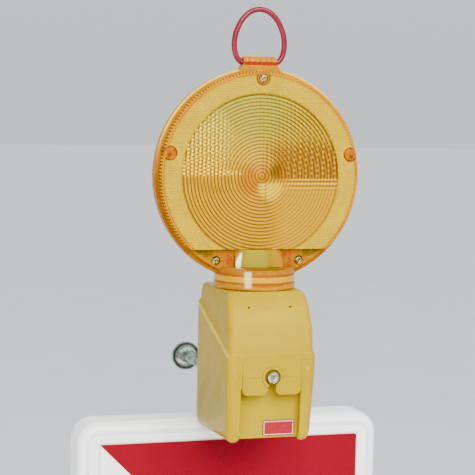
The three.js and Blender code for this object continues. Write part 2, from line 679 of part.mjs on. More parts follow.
const lamp = new THREE.Group();
lamp.position.set(LAMP.x, LAMP.y, LAMP.z);
barrier.add(lamp);
piece("fixing_bolt", fixingBolt(), ZINC, lamp);
piece("clamp_washer", washer(12, 4.4, NUT_AT - 2.3, NUT_AT - GAP), ZINC, lamp);
piece("clamp_nut", clampNut(), ZINC, lamp);
piece("keeper_nut", keeperNut(), ZINC, lamp);
piece("keeper_washer", washer(15, 4.4, KEEPER_AT + 8 + GAP, KEEPER_AT + 11 - GAP), ZINC, lamp);
piece("dome_nut", domeNut(), ZINC, lamp);
piece("battery_tray", batteryTray(), YELLOW, lamp);
piece("block_battery", blockBattery(), CELL, lamp);
piece("battery_spring_plus", contactSpring(-17, 14), ZINC, lamp);
piece("battery_spring_minus", contactSpring(17, -18), ZINC, lamp);
piece("label_plate", labelPlate(), RED, lamp);
piece("lock_screw", lockScrew(), CHROME, lamp);
piece("hood", hoodShell(), YELLOW, lamp);
piece("driver_board", driverBoard(), BOARD_GREEN, lamp);
piece("neck_seal", neckSeal(), RUBBER, lamp);
piece("swivel_stem", stem(), YELLOW, lamp);
piece("led_post", ledPost(), LED_GREY, lamp);
piece("handle", handle(), RED, lamp);
for (const front of [true, false]) {
  const end = front ? "front" : "rear";
  piece("lens_" + end, lensHalf(front), AMBER, lamp);
  piece("reflex_ring_" + end, reflexRing(front), REFLEX_YELLOW, lamp);
  piece("ring_lens_" + end, ringLens(front), AMBER, lamp);
  piece("led_" + end, led(front), LED_GREY, lamp);
}
piece("lens_screw_top", lensScrew(true, FRONT_POSTS[0]), CHROME, lamp);
piece("lens_screw_low_left", lensScrew(true, FRONT_POSTS[1]), CHROME, lamp);
piece("lens_screw_low_right", lensScrew(true, FRONT_POSTS[2]), CHROME, lamp);
piece("lens_screw_rear_left", lensScrew(false, REAR_POSTS[0]), CHROME, lamp);
piece("lens_screw_rear_right", lensScrew(false, REAR_POSTS[1]), CHROME, lamp);

export default barrier;
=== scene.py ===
"""A barrier board on a foot plate with its warning lamp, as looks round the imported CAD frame.

Metres, +Z up, in the CAD frame: X runs across the board and -Y is the side that traffic sees.
"""

import json
import math
from types import SimpleNamespace

import bmesh
import bpy
from mathutils import Matrix, Vector


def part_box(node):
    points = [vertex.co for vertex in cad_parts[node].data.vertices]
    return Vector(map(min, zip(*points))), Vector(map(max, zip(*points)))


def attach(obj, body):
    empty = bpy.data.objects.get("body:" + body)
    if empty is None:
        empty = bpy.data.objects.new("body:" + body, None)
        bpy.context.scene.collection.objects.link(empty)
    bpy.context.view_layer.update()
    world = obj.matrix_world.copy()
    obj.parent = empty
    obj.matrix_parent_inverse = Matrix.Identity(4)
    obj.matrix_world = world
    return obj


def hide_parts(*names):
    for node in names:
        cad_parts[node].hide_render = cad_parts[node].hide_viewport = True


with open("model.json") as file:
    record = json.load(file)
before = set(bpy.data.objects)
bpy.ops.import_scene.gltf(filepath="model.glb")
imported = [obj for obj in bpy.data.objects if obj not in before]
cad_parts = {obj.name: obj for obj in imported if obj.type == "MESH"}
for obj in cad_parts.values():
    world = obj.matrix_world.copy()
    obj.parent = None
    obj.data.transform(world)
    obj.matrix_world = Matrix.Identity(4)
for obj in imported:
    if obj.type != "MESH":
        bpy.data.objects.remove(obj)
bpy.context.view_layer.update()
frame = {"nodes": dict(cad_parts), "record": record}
NODES = frame["nodes"]
MM = 0.001


def low(node):
    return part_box(node)[0]


def high(node):
    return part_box(node)[1]


def middle(node):
    return (low(node) + high(node)) / 2


# ---------------------------------------------------------------- places, from the frame
LAMP_X = middle("hood").x
LENS_Y = (low("lens_front").y + high("lens_rear").y) / 2
LENS_Z = middle("led_front").z
LENS_CENTRE = Vector((LAMP_X, LENS_Y, LENS_Z))
HOOD_Z = high("board_body").z + 1 * MM  # the level that the lamp's heights count from
LOCK_Z = (middle("lock_screw").z - HOOD_Z) / MM  # millimetres above that level
SHEET_TOP_LEFT = Vector((low("sheet_front").x, 0, high("sheet_front").z))
STRIPE = (high("sheet_front").z - low("sheet_front").z) / 4

# ---------------------------------------------------------------- camera
CAMERA = {  # degrees, metres from the aim, and millimetres
    "azimuth": -17.1, "elevation": 5.3, "roll": 1.2, "distance": 1.396, "lens": 117.8, "sensor": 36,
}
AIM = Vector((LAMP_X - 0.0155, LENS_Y + 0.0037, HOOD_Z + 0.1717))


def place_camera():
    camera = bpy.data.objects.new("camera", bpy.data.cameras.new("camera"))
    bpy.context.scene.collection.objects.link(camera)
    azimuth = math.radians(CAMERA["azimuth"])
    elevation = math.radians(CAMERA["elevation"])
    back = Vector((
        math.sin(azimuth) * math.cos(elevation),
        -math.cos(azimuth) * math.cos(elevation),
        math.sin(elevation),
    ))
    roll = Matrix.Rotation(math.radians(CAMERA["roll"]), 3, "Z")
    turn = back.to_track_quat("Z", "Y").to_matrix() @ roll
    camera.matrix_world = Matrix.Translation(AIM + back * CAMERA["distance"]) @ turn.to_4x4()
    camera.data.lens = CAMERA["lens"]
    camera.data.sensor_width = CAMERA["sensor"]
    bpy.context.scene.camera = camera


place_camera()

# ---------------------------------------------------------------- the shader under construction
COUNT_FROM = 100.0  # an even number, added so that no column of dots has a negative count


def linear(r, g, b):
    """An sRGB colour out of 255 as the linear colour that shaders take."""
    def channel(v):
        v /= 255
        return v / 12.92 if v <= 0.04045 else ((v + 0.055) / 1.055) ** 2.4
    return (channel(r), channel(g), channel(b), 1)


class Shader:
    """A material under construction: its nodes, its principled shader and the few moves it takes."""

    def __init__(self, name, colour, roughness, **sockets):
        self.material = bpy.data.materials.new(name)
        self.material.use_nodes = True
        self.tree = self.material.node_tree
        self.body = self.tree.nodes["Principled BSDF"]
        self.body.inputs["Base Color"].default_value = colour
        self.body.inputs["Roughness"].default_value = roughness
        for socket, value in sockets.items():
            self.body.inputs[socket.replace("_", " ")].default_value = value
        self.where = self.tree.nodes.new("ShaderNodeTexCoord").outputs["Object"]

    def node(self, kind, **settings):
        made = self.tree.nodes.new("ShaderNode" + kind)
        for key, value in settings.items():
            if key in made.inputs:
                made.inputs[key].default_value = value
            else:
                setattr(made, key, value)
        return made

    def link(self, output, target):
        self.tree.links.new(output, target)

    def give(self, value, target):
        """Links a node's output to a socket, or sets a plain value on it."""
        if isinstance(value, bpy.types.NodeSocket):
            self.link(value, target)
        else:
            target.default_value = value

    def noise(self, scale, detail, roughness=0.6, stretch=None):
        made = self.node("TexNoise", Scale=scale, Detail=detail, Roughness=roughness)
        self.link(self.stretched(stretch) if stretch else self.where, made.inputs["Vector"])
        return made.outputs["Fac"]

    def stretched(self, stretch):
        mapping = self.node("Mapping")
        mapping.inputs["Scale"].default_value = stretch
        self.link(self.where, mapping.inputs["Vector"])
        return mapping.outputs["Vector"]

    def specks(self, scale, size):
        """Small round specks: 1 in the middle of each, 0 between them."""
        made = self.node("TexVoronoi", Scale=scale)
        self.link(self.where, made.inputs["Vector"])
        return self.rise(made.outputs["Distance"], size, 0.5 * size)

    def ramp(self, fac, stops):
        """Colours or grey values at their places along fac, which runs from 0 to 1."""
        made = self.node("ValToRGB")
        ramp = made.color_ramp
        while len(ramp.elements) < len(stops):
            ramp.elements.new(0.5)
        for element, (position, colour) in zip(ramp.elements, stops):
            element.position = position
            element.color = colour if hasattr(colour, "__len__") else (colour, colour, colour, 1)
        self.link(fac, made.inputs["Fac"])
        return made.outputs["Color"]

    def mottled(self, scale, detail, *stops):
        """Colours or values that wander with a noise of the given scale."""
        return self.ramp(self.noise(scale, detail), stops)

    def mix(self, fac, a, b):
        """Colour a where fac is 0 and colour b where it is 1."""
        made = self.node("Mix", data_type="RGBA")
        # The node has sockets for each kind of value: these are its factor and its colours.
        for value, target in ((fac, made.inputs[0]), (a, made.inputs[6]), (b, made.inputs[7])):
            self.give(value, target)
        return made.outputs[2]

    def math(self, operation, a, b=0.0):
        made = self.node("Math", operation=operation)
        for value, target in zip((a, b), made.inputs):
            self.give(value, target)
        return made.outputs[0]

    def product(self, first, *others):
        for other in others:
            first = self.math("MULTIPLY", first, other)
        return first

    def share(self, value, pitch):
        """How far value lies into its step, from 0 to 1, where each step is one pitch long."""
        return self.math("FRACT", self.math("DIVIDE", value, pitch))

    def rise(self, value, start, end):
        """Goes smoothly from 0 to 1 as value goes from start to end."""
        made = self.node("MapRange", interpolation_type="SMOOTHSTEP")
        made.inputs["From Min"].default_value = start
        made.inputs["From Max"].default_value = end
        self.link(value, made.inputs["Value"])
        return made.outputs["Result"]

    def within(self, value, start, end, soft):
        """1 between start and end, falling smoothly to 0 just outside them."""
        return self.product(self.rise(value, start - soft, start), self.rise(value, end + soft, end))

    def axes(self, centre, unit=1.0):
        """How far along X, Y and Z a point lies from centre, in the given unit of length."""
        moved = self.node("VectorMath", operation="SUBTRACT")
        moved.inputs[1].default_value = centre
        self.link(self.where, moved.inputs[0])
        scaled = self.node("VectorMath", operation="SCALE", Scale=1 / unit)
        self.link(moved.outputs[0], scaled.inputs[0])
        made = self.node("SeparateXYZ")
        self.link(scaled.outputs[0], made.inputs[0])
        return made.outputs[0], made.outputs[1], made.outputs[2]

    def away(self, a, b, a0=0.0, b0=0.0):
        """The distance in a plane from the point (a0, b0)."""
        da = self.math("SUBTRACT", a, a0)
        db = self.math("SUBTRACT", b, b0)
        return self.math("SQRT", self.math("ADD", self.product(da, da), self.product(db, db)))

    def lattice(self, a, b, pitch_a, pitch_b, size):
        """Round dots in columns, where every other column is moved up by half a pitch."""
        column = self.math("DIVIDE", a, pitch_a)
        count = self.math("ADD", self.math("FLOOR", column), COUNT_FROM)
        half = self.product(self.math("MODULO", count, 2.0), 0.5)
        across = self.product(self.math("SUBTRACT", self.math("FRACT", column), 0.5), pitch_a)
        row = self.math("ADD", self.math("DIVIDE", b, pitch_b), half)
        along = self.product(self.math("SUBTRACT", self.math("FRACT", row), 0.5), pitch_b)
        return self.rise(self.away(across, along), size, 0.35 * size)

    def inside(self, centre, corner, radius):
        """How many millimetres a point lies inside the outline of an upright, round-cornered plate."""
        x, _, z = self.axes(centre, MM)
        over_x = self.math("ADD", self.math("ABSOLUTE", x), radius - (corner.x - centre.x) / MM)
        over_z = self.math("ADD", self.math("ABSOLUTE", z), radius - (corner.z - centre.z) / MM)
        beyond = self.away(self.math("MAXIMUM", over_x, 0.0), self.math("MAXIMUM", over_z, 0.0))
        before = self.math("MINIMUM", self.math("MAXIMUM", over_x, over_z), 0.0)
        return self.math("SUBTRACT", radius, self.math("ADD", beyond, before))

    def colour(self, output):
        self.link(output, self.body.inputs["Base Color"])

    def roughness(self, output):
        self.link(output, self.body.inputs["Roughness"])

    def bump(self, height, strength, distance):
        made = self.node("Bump", Strength=strength, Distance=distance)
        if self.body.inputs["Normal"].is_linked:
            self.link(self.body.inputs["Normal"].links[0].from_socket, made.inputs["Normal"])
        self.link(height, made.inputs["Height"])
        self.link(made.outputs["Normal"], self.body.inputs["Normal"])


# ---------------------------------------------------------------- materials
# A mask is 1 where its colour lies and 0 elsewhere. Places in masks are in millimetres.
WARM = (1.0, 0.82, 0.2, 1)  # tint of the shine on amber and yellow plastic

RIDGE_SLOPE = 0.36  # rise of the ridge on the hood's side for each step back
RIDGE = (93.2, 95.6)  # its height on the lens' middle plane
HOOD_SIDE = (38.0, 40.5)  # from the hood's middle out to its sides
LOCK_GROOVE_SHADE = (5.0, 7.0)  # from the middle of the lock screw
LOCK_FACE = (-55.0, -57.0)  # the latch's front, before the lens' middle plane


def yellow_plastic():
    """Moulded yellow plastic: cloudy, finely grained, with dust specks, a painted highlight along the
    ridge, and painted shade on the sides and in the groove round the lock screw.
    """
    s = Shader("yellow_plastic", linear(151, 123, 0), 0.36, Specular_IOR_Level=0.16, Specular_Tint=WARM)
    x, y, z = s.axes((LAMP_X, LENS_Y, HOOD_Z), MM)
    warm = s.mottled(22, 5, (0.3, linear(148, 120, 0)), (0.7, linear(156, 129, 0)))
    # Painted shade: the sides are darker and greener than the front, most of all low down.
    side = s.rise(s.math("ABSOLUTE", x), *HOOD_SIDE)
    side_shade = s.product(side, s.rise(z, 70.0, 10.0), 0.75)
    shaded = s.mix(side_shade, warm, linear(126, 111, 0))
    streaks = s.ramp(s.noise(60, 5, 0.6, (1, 1, 0.08)), [(0.5, 0.0), (0.8, 0.3)])
    streaked = s.mix(streaks, shaded, linear(163, 142, 4))
    speck = s.product(s.specks(260, 0.16), s.rise(s.noise(18, 2), 0.5, 0.62))
    specked = s.mix(s.product(speck, 0.6), streaked, linear(111, 86, 5))
    # Painted highlight: a pale broken line along the ridge on the hood's sides.
    slope = s.math("SUBTRACT", z, s.product(y, RIDGE_SLOPE))
    ridge_highlight = s.product(s.within(slope, *RIDGE, 1.0), side, s.mottled(50, 3, (0.3, 0.4), (0.6, 1.0)))
    ridged = s.mix(s.product(ridge_highlight, 0.85), specked, linear(196, 178, 52))
    # Painted shade: a dark ring in the groove round the lock screw, on the latch's front.
    from_lock = s.away(x, z, 0.0, LOCK_Z)
    groove = s.product(s.within(from_lock, *LOCK_GROOVE_SHADE, 0.3), s.rise(y, *LOCK_FACE), 0.8)
    s.colour(s.mix(groove, ridged, linear(62, 51, 5)))
    s.roughness(s.mottled(60, 5, (0.3, 0.26), (0.75, 0.46)))
    s.bump(s.noise(1400, 3), 0.1, 0.0003)
    s.bump(s.noise(35, 3), 0.15, 0.002)
    return s.material


# ---- the amber housing, in layers that each lie over the ones before
TEETH = 188  # round the full turn of the drum
WALL = {"radius": (90.4, 92.4), "depth": (5.0, 13.6), "foot": (-66.0, -60.0)}
RIM_RADIUS = (94.0, 96.0)
SHADE_RADIUS = (92.6, 97.0)
REFLECTOR_FOOT = (-64.5, -66.5)  # the level edge that ends the reflector
HOUSING_FOOT = (-93.0, -88.0)
BOSS = (83.8, 19.3)  # the blind bosses, aside and up from the lens' centre
BOSS_TIP = (84.6, 17.6)
TOP_SCREW = (0.0, 86.0)
FACE_DEPTH = (12.5, 14.0)  # from inside the wall to the face, before or behind the middle plane
# The window's foot is a painted shadow line under it.
WINDOW = {"half_width": 22.5, "height": (-80.6, -66.2), "foot": (-82.2, -81.2)}
# A painted highlight, upright at the window's left end.
WINDOW_HIGHLIGHT = {"across": (-20.6, -18.0), "height": (-80.4, -69.4), "lean": -0.16}
COLLAR_TOP = (-81.0, -82.5)
COLLAR_LINES = ((-88.2, -86.8), (-95.2, -93.8))
COLLAR_BELT = (-93.2, -89.0)
COLLAR_SHINE = {"across": (-17.6, -14.6), "height": (-97.0, -85.0)}
BARREL = {"height": (97.8, 100.4), "half_width": (15.8, 15.0), "depth": (3.0, 4.0)}


def lens_place(s):
    """Where a point lies on the lens, in millimetres from the lens' centre."""
    x, y, z = s.axes(LENS_CENTRE, MM)
    depth = s.math("ABSOLUTE", y)
    aside = s.math("ABSOLUTE", x)
    return SimpleNamespace(x=x, y=y, z=z, r=s.away(x, z), depth=depth, aside=aside)


def amber_plastic():
    """Clear amber plastic of the lens housing: yellow where it is thin, red-brown in its corners."""
    s = Shader("amber_lens", linear(159, 100, 0), 0.14, Specular_IOR_Level=0.12, Specular_Tint=WARM)
    at = lens_place(s)
    cloud = s.noise(45, 4, 0.55, (1, 1, 0.6))
    shades = [(0.3, linear(147, 86, 0)), (0.52, linear(161, 103, 0)), (0.75, linear(169, 115, 0))]
    colour = s.ramp(cloud, shades)
    for layer in (drum_wall, rim, below_reflector, streaks, bosses, window, collar, barrel):
        colour = layer(s, at, colour)
    s.colour(colour)
    s.roughness(s.mottled(120, 4, (0.35, 0.1), (0.8, 0.26)))
    s.bump(s.noise(160, 3), 0.12, 0.001)
    return s.material


def drum_wall(s, at, under):
    """The drum's side wall, lighter on its teeth, with painted shade between them."""
    round_it = s.within(at.r, *WALL["radius"], 0.3)
    wall = s.product(round_it, s.within(at.depth, *WALL["depth"], 0.6), s.rise(at.z, *WALL["foot"]))
    turn = s.product(s.math("ARCTAN2", at.z, at.x), TEETH / (2 * math.pi))
    # Painted shade in the gaps between the teeth.
    gap_shade = s.within(s.math("FRACT", turn), 0.0, 0.36, 0.12)
    light = s.mix(s.product(wall, 0.8), under, linear(183, 124, 0))
    return s.mix(s.product(wall, gap_shade, 0.8), light, linear(107, 49, 0))


def rim(s, at, under):
    """The housing's rim, with a painted highlight at the top and painted shade further down and to the
    right.
    """
    height = s.math("ADD", at.z, s.product(at.x, -0.2))
    upper = s.product(s.within(at.r, *RIM_RADIUS, 0.6), s.rise(at.depth, 2.4, 3.4))
    # Painted highlight: the upper rim is pale towards the top.
    rim_highlight = s.product(upper, s.rise(height, 30.0, 66.0), s.rise(at.aside, 17.0, 23.0), 0.8)
    rimmed = s.mix(rim_highlight, under, linear(222, 192, 56))
    # Painted shade: the rim darkens further down and to the right.
    rim_shade = s.product(s.within(at.r, *SHADE_RADIUS, 0.5), s.rise(height, 44.0, 4.0), 0.85)
    return s.mix(rim_shade, rimmed, linear(128, 66, 0))


def below_reflector(s, at, under):
    """Below the reflector's level edge: dark triangles at the ends, redder patches by the window."""
    below = s.product(s.rise(at.z, *REFLECTOR_FOOT), s.rise(at.z, *HOUSING_FOOT))
    flank = s.mix(s.product(below, 0.8), under, linear(134, 81, 0))
    slope = s.math("ADD", at.aside, s.product(s.math("ADD", at.z, 66.0), -1.6))
    ends = s.product(below, s.rise(slope, 62.0, 59.0), s.rise(at.aside, 40.0, 44.0))
    triangles = s.product(ends, s.rise(at.z, -74.0, -72.0), 0.8)
    dim = s.mix(triangles, flank, linear(78, 66, 5))
    broken = s.rise(s.noise(110, 3), 0.46, 0.6)
    patches = s.product(below, s.within(at.aside, 24.0, 31.0, 2.0), broken, 0.9)
    return s.mix(patches, dim, linear(140, 51, 2))


def streaks(s, at, under):
    """Faint light streaks that run from front to back all over the housing."""
    lines = s.rise(s.noise(260, 3, 0.6, (1, 0.15, 1)), 0.45, 0.7)
    return s.mix(s.product(lines, 0.25), under, linear(178, 132, 8))


def bosses(s, at, under):
    """Blind bosses seen through the face, each with the dark tip of a screw from the other side."""
    inner = s.mottled(220, 3, (0.35, linear(116, 52, 0)), (0.65, linear(160, 88, 0)))
    boss = s.rise(s.away(at.aside, at.z, *BOSS), 7.2, 6.2)
    bossed = s.mix(s.product(boss, 0.85), under, inner)
    tip = s.rise(s.away(at.aside, at.z, *BOSS_TIP), 2.4, 1.4)
    tipped = s.mix(s.product(tip, 0.75), bossed, linear(81, 41, 0))
    top = s.rise(s.away(at.x, at.z, *TOP_SCREW), 8.4, 7.0)
    return s.mix(s.product(top, s.rise(at.depth, 10.0, 12.0), 0.6), tipped, linear(144, 85, 0))


def window(s, at, under):
    """The window over the hood: thin, greenish yellow, with a painted highlight at its left end and a
    painted shadow line along its foot.
    """
    on_face = s.rise(at.depth, *FACE_DEPTH)
    opening = s.within(at.aside, -1.0, WINDOW["half_width"], 0.6)
    shape = s.product(opening, s.within(at.z, *WINDOW["height"], 0.4), on_face)
    green = s.mix(s.noise(60, 3), linear(112, 96, 0), linear(134, 116, 4))
    fading = s.mix(s.product(s.rise(at.x, 8.0, 19.0), 0.75), green, linear(166, 104, 0))
    windowed = s.mix(shape, under, fading)
    # Painted highlight: a bright upright strip at the window's left end.
    lean = s.math("ADD", at.x, s.product(s.math("ADD", at.z, 74.0), WINDOW_HIGHLIGHT["lean"]))
    upright = s.product(s.within(lean, *WINDOW_HIGHLIGHT["across"], 1.6), s.within(at.z, *WINDOW_HIGHLIGHT["height"], 1.4))
    window_highlight = s.product(upright, s.rise(at.y, -FACE_DEPTH[0], -FACE_DEPTH[1]), 0.9)
    highlighted = s.mix(window_highlight, windowed, linear(231, 227, 198))
    # Painted shadow: a dark line along the window's foot.
    foot = s.product(s.within(at.z, *WINDOW["foot"], 0.4), s.rise(at.aside, 20.0, 16.0), on_face, 0.8)
    return s.mix(foot, highlighted, linear(84, 52, 0))


def collar(s, at, under):
    """The collar: two darker lines, a light belt between them and one tall highlight."""
    below = s.rise(at.z, *COLLAR_TOP)
    upper, lower = (s.within(at.z, *line, 0.6) for line in COLLAR_LINES)
    lines = s.product(below, s.math("ADD", upper, lower), 0.85)
    lined = s.mix(lines, under, linear(126, 68, 0))
    belt = s.product(below, s.within(at.z, *COLLAR_BELT, 0.6), 0.7)
    belted = s.mix(belt, lined, linear(196, 142, 0))
    tall = s.within(at.z, *COLLAR_SHINE["height"], 2.0)
    shine = s.product(below, s.within(at.x, *COLLAR_SHINE["across"], 2.4), tall, s.rise(at.y, -10.0, -20.0))
    return s.mix(s.product(shine, 0.5), belted, linear(231, 221, 181))


def barrel(s, at, under):
    """The red wire shows through the barrel that holds it."""
    tube = s.product(s.within(at.z, *BARREL["height"], 0.6), s.rise(at.aside, *BARREL["half_width"]))
    return s.mix(s.product(tube, s.rise(at.depth, *BARREL["depth"]), 0.95), under, linear(132, 16, 6))


# ---- the ring lens, in layers too
RING_PITCH = 3.1  # millimetres from one groove of the ring lens to the next
GROOVE = ((0.0, 1.0), (0.2, 0.9), (0.4, 0.0), (0.84, 0.0), (1.0, 1.0))  # place and darkness across one ring
DRIFT = 16.0  # how far the zones' edges wander
FLUTE_PITCH = 3.65  # millimetres from one upright flute of the ring lens to the next
DOT_ROW = 3.3  # from one dot to the next along a flute
FAINT_HIGHLIGHT_DOTS = {"pitch_a": 5.5, "pitch_b": 4.8, "size": 1.7}
DASH_PITCH = 3.4
LINE_PITCH = 3.9


def ring_amber():
    """The ring lens: dark grooves, and the zones that its prisms show from the bowl behind it."""
    s = Shader("ring_amber", linear(159, 107, 0), 0.2, Specular_IOR_Level=0.16, Specular_Tint=WARM)
    at = lens_place(s)
    drift = s.product(s.math("SUBTRACT", s.noise(30, 3), 0.5), DRIFT)
    at.xd = s.math("ADD", at.x, drift)
    at.zd = s.math("ADD", at.z, drift)
    colour = grooved_zones(s, at)
    for layer in (dot_highlights_and_pit_shade, dashes, faint_dot_highlights, level_lines, light_source):
        colour = layer(s, at, colour)
    s.colour(colour)
    s.roughness(s.mottled(120, 4, (0.35, 0.14), (0.8, 0.32)))
    s.bump(s.noise(400, 2), 0.08, 0.0004)
    return s.material


def grooved_zones(s, at):
    """Grooves in a light and a dark colour of their own in each zone of the lens."""
    x, z, xd, zd = at.x, at.z, at.xd, at.zd
    right = s.product(s.rise(xd, 14.0, 34.0), s.rise(zd, 10.0, 24.0))
    wedge = s.product(s.rise(xd, 0.0, 16.0), s.rise(z, -3.2, -2.2), s.rise(zd, 36.0, 20.0), 0.85)
    under_wedge = s.product(s.rise(xd, 0.0, 26.0), s.rise(z, -3.0, -8.0))
    bright_spot = s.product(s.rise(s.away(x, z, 8.0, -11.0), 14.0, 7.0), s.rise(z, -5.0, -8.0))
    zones = [  # mask, light colour, dark colour; each lies over the ones before it
        (s.rise(zd, 4.0, 54.0), linear(134, 120, 19), linear(64, 55, 2)),
        (right, linear(155, 122, 10), linear(68, 47, 0)),
        (wedge, linear(124, 75, 4), linear(91, 52, 0)),
        (under_wedge, linear(169, 126, 0), linear(146, 101, 0)),
        (s.rise(s.away(xd, zd, -8.0, -2.0), 18.0, 8.0), linear(160, 98, 0), linear(78, 33, 0)),
        (bright_spot, linear(204, 168, 0), linear(140, 106, 0)),
    ]
    light = linear(169, 122, 0)
    dark = linear(70, 39, 0)
    for mask, zone_light, zone_dark in zones:
        light = s.mix(mask, light, zone_light)
        dark = s.mix(mask, dark, zone_dark)
    groove = s.ramp(s.share(at.r, RING_PITCH), GROOVE)
    strength = s.mottled(14, 3, (0.3, 0.65), (0.7, 1.0))
    return s.mix(s.product(groove, strength), light, dark)


def dot_highlights_and_pit_shade(s, at, under):
    """Painted highlights on bright dots, with painted shade in dark pits beside them, where upright flutes
    cross the rings on the left.
    """
    high_left = s.product(s.rise(at.xd, -22.0, -46.0), s.rise(at.z, -1.0, 1.0), s.rise(at.zd, 62.0, 44.0))
    left = s.product(high_left, s.mottled(160, 2, (0.3, 0.35), (0.6, 1.0)))
    # Painted shade in the pits.
    pit_shade = s.lattice(s.math("ADD", at.x, 1.8), at.z, FLUTE_PITCH, DOT_ROW, 1.1)
    pitted = s.mix(s.product(pit_shade, left), under, linear(84, 57, 2))
    lowest_row = s.product(s.within(at.z, 1.0, 4.0, 1.0), s.rise(at.x, -14.0, -24.0), 0.8)
    # Painted highlights: bright dots, strongest high on the left and along the lowest row.
    bright = s.lattice(at.x, at.z, FLUTE_PITCH, DOT_ROW, 1.4)
    return s.mix(s.product(bright, s.math("MAXIMUM", left, lowest_row)), pitted, linear(244, 210, 44))


def dashes(s, at, under):
    """A belt of short dark strokes just under the middle on the left."""
    belt = s.product(s.within(at.z, -14.0, -3.0, 2.0), s.rise(at.xd, -20.0, -30.0), 0.35)
    stroke = s.within(s.share(at.x, DASH_PITCH), 0.0, 0.3, 0.15)
    return s.mix(s.product(belt, stroke), under, linear(88, 52, 0))


def faint_dot_highlights(s, at, under):
    """Wider, fainter painted highlights as dots on the right."""
    right = s.product(s.rise(at.xd, 14.0, 30.0), s.rise(at.z, -2.4, -1.4), s.rise(at.zd, 46.0, 22.0))
    return s.mix(s.product(s.lattice(at.x, at.z, **FAINT_HIGHLIGHT_DOTS), right, 0.5), under, linear(183, 152, 51))


def level_lines(s, at, under):
    """Level lines under the middle on the right, fading downwards."""
    line = s.within(s.share(at.z, LINE_PITCH), 0.05, 0.4, 0.12)
    belt = s.product(s.rise(at.z, -17.0, -5.0), s.rise(at.z, -2.2, -3.0), s.rise(at.x, 14.0, 34.0))
    return s.mix(s.product(belt, 0.9), under, s.mix(line, linear(126, 82, 0), linear(196, 158, 33)))


def light_source(s, at, under):
    """The light source and the edge of its holder, seen through the lens."""
    source = s.product(s.rise(s.away(at.xd, at.zd, 12.0, 4.0), 8.0, 3.0), 0.6)
    shown = s.mix(source, under, linear(78, 53, 7))
    bar = s.product(s.within(at.x, 3.2, 4.4, 0.6), s.within(at.z, -22.0, 26.0, 6.0), 0.45)
    return s.mix(bar, shown, linear(108, 72, 0))


# ---- the other materials
REFLEX_OUTER_EDGE = (86.0, 88.6)
REFLEX_INNER_EDGE = (75.0, 73.0)
FRAME_CORNER = 20.0  # the radius of the board's corners
FRAME_FOLD_SHADE = (8.0, 10.5)  # from the board's outline inwards
SHEET_SEAM_SHADE = (19.0, 22.5)  # from the board's outline inwards
WHOLE_PAIRS = 16  # stripes added to the count, which moves no stripe
KEEPER_DARK_REFLECTION = (10.6, 12.2)
KEEPER_DARK_REFLECTION_END = (14.0, 13.6)
STEEL_CHANGE = (100.0, 120.0)  # between the lock screw and the lens screws, above the hood's foot
LABEL_BORDER = (0.9, 1.4)  # from the label's edge inwards


def reflex_yellow():
    """Prismatic reflector: sparkling yellow, and deeper yellow along its two edges."""
    s = Shader("reflex_yellow", linear(163, 132, 0), 0.2, Specular_IOR_Level=0.2, Specular_Tint=WARM)
    r = lens_place(s).r
    base = s.mottled(40, 4, (0.3, linear(159, 123, 0)), (0.7, linear(170, 141, 0)))
    edge = s.math("MAXIMUM", s.rise(r, *REFLEX_OUTER_EDGE), s.rise(r, *REFLEX_INNER_EDGE))
    shaded = s.mix(s.product(edge, 0.5), base, linear(143, 100, 0))
    sparkle = s.rise(s.noise(900, 1), 0.6, 0.72)
    s.colour(s.mix(s.product(sparkle, 0.5), shaded, linear(188, 170, 48)))
    s.roughness(s.mottled(300, 3, (0.3, 0.14), (0.8, 0.3)))
    s.bump(s.noise(900, 2), 0.2, 0.0003)
    return s.material


def white_plastic():
    """White plastic of the board, a little soiled, with painted shade along a fold and a seam round its
    frame.
    """
    s = Shader("white_plastic", linear(238, 238, 236), 0.36, Coat_Weight=0.15, Coat_Roughness=0.2)
    clean = s.mottled(14, 5, (0.3, linear(232, 230, 226)), (0.7, linear(244, 244, 243)))
    dirt = s.ramp(s.noise(70, 6, 0.7, (1, 1, 0.35)), [(0.55, 0.0), (0.85, 0.35)])
    soiled = s.mix(dirt, clean, linear(196, 190, 178))
    edge = s.inside(middle("board_body"), high("board_body"), FRAME_CORNER)
    # Painted shade: a bluish band along the frame's fold and a cream band along the seam by the sheet.
    fold_shade = s.mix(s.product(s.within(edge, *FRAME_FOLD_SHADE, 1.5), 0.5), soiled, linear(170, 186, 206))
    s.colour(s.mix(s.product(s.within(edge, *SHEET_SEAM_SHADE, 0.6), 0.5), fold_shade, linear(214, 200, 176)))
    s.roughness(s.mottled(40, 4, (0.3, 0.3), (0.8, 0.48)))
    s.bump(s.noise(90, 3), 0.12, 0.001)
    return s.material


def reflective_sheet():
    """Red and white stripes at 45 degrees under a fine grain of glass beads."""
    s = Shader("reflective_sheet", linear(150, 0, 24), 0.3, Specular_IOR_Level=0.08)
    x, _, z = s.axes(SHEET_TOP_LEFT)
    across = s.product(s.math("ADD", x, z), -1.0)
    share = s.share(s.math("ADD", across, WHOLE_PAIRS * STRIPE), 2 * STRIPE)
    red = s.math("GREATER_THAN", share, 0.5)
    speckle = s.noise(2600, 1)
    reds = s.ramp(speckle, [(0.3, linear(112, 0, 18)), (0.7, linear(122, 0, 24))])
    whites = s.ramp(speckle, [(0.3, linear(226, 228, 224)), (0.7, linear(240, 241, 238))])
    s.colour(s.mix(red, whites, reds))
    s.roughness(s.mottled(30, 4, (0.3, 0.24), (0.8, 0.42)))
    s.bump(speckle, 0.1, 0.0002)
    return s.material


